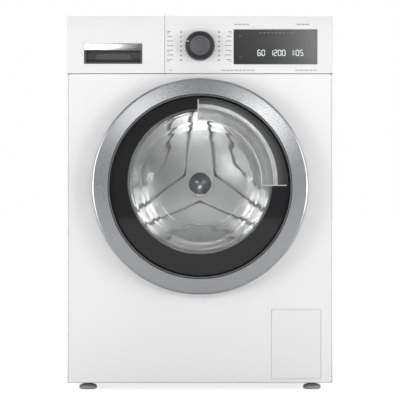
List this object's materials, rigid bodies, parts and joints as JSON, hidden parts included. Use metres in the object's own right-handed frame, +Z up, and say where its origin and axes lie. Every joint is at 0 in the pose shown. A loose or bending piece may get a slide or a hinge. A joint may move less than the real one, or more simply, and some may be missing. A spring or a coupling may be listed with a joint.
{
  "type": "front load washing machine",
  "caption": "Free-standing front-loading washing machine with porthole door, detergent drawer, programme dial, display and a sprung tub holding a belt-driven drum.",
  "frame": {"origin": "on the floor under the middle of the machine's overall box", "axes": "+Z up, -Y towards the person at the door, +X to the right seen from the front; the hinge is at -X"},
  "size_m": [0.598, 0.632, 0.848],
  "materials": {
    "white_enamel": "smooth satin enamel on sheet steel",
    "white_plastic": "smooth satin moulding",
    "grey_plastic": "fine matt moulding",
    "dark_plastic": "glossy dark moulding",
    "dial_coat": "satin metallic coat",
    "smoked_pane": "smoked transparent pane, glossy",
    "clear_glass": "clear pressed glass",
    "bright_ring": "satin chrome on plastic",
    "stainless": "satin stainless sheet",
    "cast_alloy": "as cast",
    "steel": "zinc plated steel",
    "zinc_sheet": "galvanised sheet",
    "gasket_rubber": "matt grey rubber",
    "black_rubber": "matt black rubber",
    "tub_plastic": "glass-filled moulding, matt",
    "concrete": "rough cast concrete",
    "motor_shell": "painted laminations and shell"
  },
  "bodies": {
    "cabinet": {"left_side_panel": "white_enamel", "right_side_panel": "white_enamel", "front_panel": "white_enamel", "rear_panel": "zinc_sheet", "base_pan": "grey_plastic", "worktop": "white_plastic", "upper_brace": "zinc_sheet", "control_fascia": "white_plastic", "display_window": "dark_plastic", "control_module": "grey_plastic", "dispenser_housing": "grey_plastic", "inlet_valve": "white_plastic", "inlet_pipe": "black_rubber", "mains_inlet": "grey_plastic", "door_lock": "dark_plastic", "door_hinge_bracket": "steel", "drain_pump": "grey_plastic", "drain_hose": "black_rubber", "dispenser_hose": "black_rubber", "sump_hose": "black_rubber", "spring_left": "steel", "spring_right": "steel", "door_gasket": "gasket_rubber"},
    "drawer": {"drawer_tray": "white_plastic", "drawer_front": "white_plastic", "drawer_handle": "dark_plastic"},
    "dial": {"selector_dial": "dial_coat"},
    "power_button": {"power_button": "dial_coat"},
    "door": {"door_ring": "bright_ring", "door_pane": "smoked_pane", "door_grip_trough": "dark_plastic", "door_glass_bowl": "clear_glass", "door_inner_frame": "white_plastic", "door_hinge_arm": "steel"},
    "door_hook": {"door_hook": "steel"},
    "flap": {"service_flap": "white_plastic"},
    "filter": {"pump_filter": "dark_plastic"},
    "tub": {"tub_rear": "tub_plastic", "tub_front": "tub_plastic", "counterweight_top": "concrete", "counterweight_front": "concrete", "bearing_cartridge": "cast_alloy", "motor_body": "motor_shell", "heater": "stainless", "drive_belt": "black_rubber"},
    "drum": {"drum_basket": "stainless", "drum_spider": "cast_alloy", "lifter_1": "grey_plastic", "lifter_2": "grey_plastic", "lifter_3": "grey_plastic", "drum_pulley": "cast_alloy"},
    "motor_rotor": {"motor_pulley": "steel"},
    "damper_cylinder_left": {"damper_cylinder_left": "dark_plastic"},
    "damper_cylinder_right": {"damper_cylinder_right": "dark_plastic"},
    "damper_rod_left": {"damper_rod_left": "steel"},
    "damper_rod_right": {"damper_rod_right": "steel"},
    "foot_front_left": {"foot_front_left": "black_rubber"},
    "foot_front_right": {"foot_front_right": "black_rubber"},
    "foot_rear_left": {"foot_rear_left": "black_rubber"},
    "foot_rear_right": {"foot_rear_right": "black_rubber"}
  },
  "joints": [
    {"name": "door_hinge", "type": "hinge", "parent": "cabinet", "child": "door", "pos_m": [-0.231, -0.294, 0.46], "axis": [0, 0, -1], "range_deg": [0, 125]},
    {"name": "door_hook_pivot", "type": "hinge", "parent": "door", "child": "door_hook", "pos_m": [0.2115, -0.29, 0.43], "axis": [0, 0, 1], "range_deg": [0, 4], "stiffness_Nm_per_rad": 0.5, "springref_deg": -2.86},
    {"name": "drawer_slide", "type": "slide", "parent": "cabinet", "child": "drawer", "axis": [0, -1, 0], "range_m": [0, 0.2]},
    {"name": "dial_turn", "type": "hinge", "parent": "cabinet", "child": "dial", "pos_m": [0, -0.276, 0.7744], "axis": [0, 1, 0], "continuous": true},
    {"name": "power_press", "type": "slide", "parent": "cabinet", "child": "power_button", "axis": [0, 1, 0], "range_m": [0, 0.0015], "stiffness_N_per_m": 400, "springref_m": -0.001},
    {"name": "flap_hinge", "type": "hinge", "parent": "cabinet", "child": "flap", "pos_m": [0.2157, -0.2725, 0.0303], "axis": [1, 0, 0], "range_deg": [0, 90]},
    {"name": "filter_turn", "type": "hinge", "parent": "cabinet", "child": "filter", "pos_m": [0.2157, -0.258, 0.095], "axis": [0, -1, 0], "range_deg": [0, 270]},
    {"name": "tub_bounce", "type": "slide", "parent": "cabinet", "child": "tub", "axis": [0, 0, 1], "range_m": [-0.008, 0.008], "stiffness_N_per_m": 20000, "springref_m": 0.0207, "deforming": ["spring_left", "spring_right", "dispenser_hose", "sump_hose", "door_gasket"]},
    {"name": "drum_spin", "type": "hinge", "parent": "tub", "child": "drum", "pos_m": [0, -0.184, 0.4705], "axis": [0, 1, 0], "continuous": true},
    {"name": "motor_spin", "type": "hinge", "parent": "tub", "child": "motor_rotor", "pos_m": [0.115, 0.242, 0.115], "axis": [0, 1, 0], "continuous": true},
    {"name": "damper_foot_left", "type": "hinge", "parent": "cabinet", "child": "damper_cylinder_left", "pos_m": [-0.19, -0.024, 0.055], "axis": [0, 1, 0], "range_deg": [-1, 1]},
    {"name": "damper_head_left", "type": "hinge", "parent": "tub", "child": "damper_rod_left", "pos_m": [-0.145, -0.024, 0.222], "axis": [0, 1, 0], "range_deg": [-1, 1]},
    {"name": "damper_foot_right", "type": "hinge", "parent": "cabinet", "child": "damper_cylinder_right", "pos_m": [0.19, -0.024, 0.055], "axis": [0, 1, 0], "range_deg": [-1, 1]},
    {"name": "damper_head_right", "type": "hinge", "parent": "tub", "child": "damper_rod_right", "pos_m": [0.145, -0.024, 0.222], "axis": [0, 1, 0], "range_deg": [-1, 1]},
    {"name": "foot_front_left_height", "type": "slide", "parent": "cabinet", "child": "foot_front_left", "axis": [0, 0, -1], "range_m": [0, 0.01]},
    {"name": "foot_front_right_height", "type": "slide", "parent": "cabinet", "child": "foot_front_right", "axis": [0, 0, -1], "range_m": [0, 0.01]},
    {"name": "foot_rear_left_height", "type": "slide", "parent": "cabinet", "child": "foot_rear_left", "axis": [0, 0, -1], "range_m": [0, 0.01]},
    {"name": "foot_rear_right_height", "type": "slide", "parent": "cabinet", "child": "foot_rear_right", "axis": [0, 0, -1], "range_m": [0, 0.01]}
  ],
  "couplings": [
    {"joint": "motor_spin", "follows": "drum_spin", "ratio": 13.274},
    {"joint": "damper_foot_left", "follows": "tub_bounce", "rad_per_m": -1.5043},
    {"joint": "damper_head_left", "follows": "tub_bounce", "rad_per_m": -1.5043},
    {"joint": "damper_foot_right", "follows": "tub_bounce", "rad_per_m": 1.5043},
    {"joint": "damper_head_right", "follows": "tub_bounce", "rad_per_m": 1.5043}
  ]
}
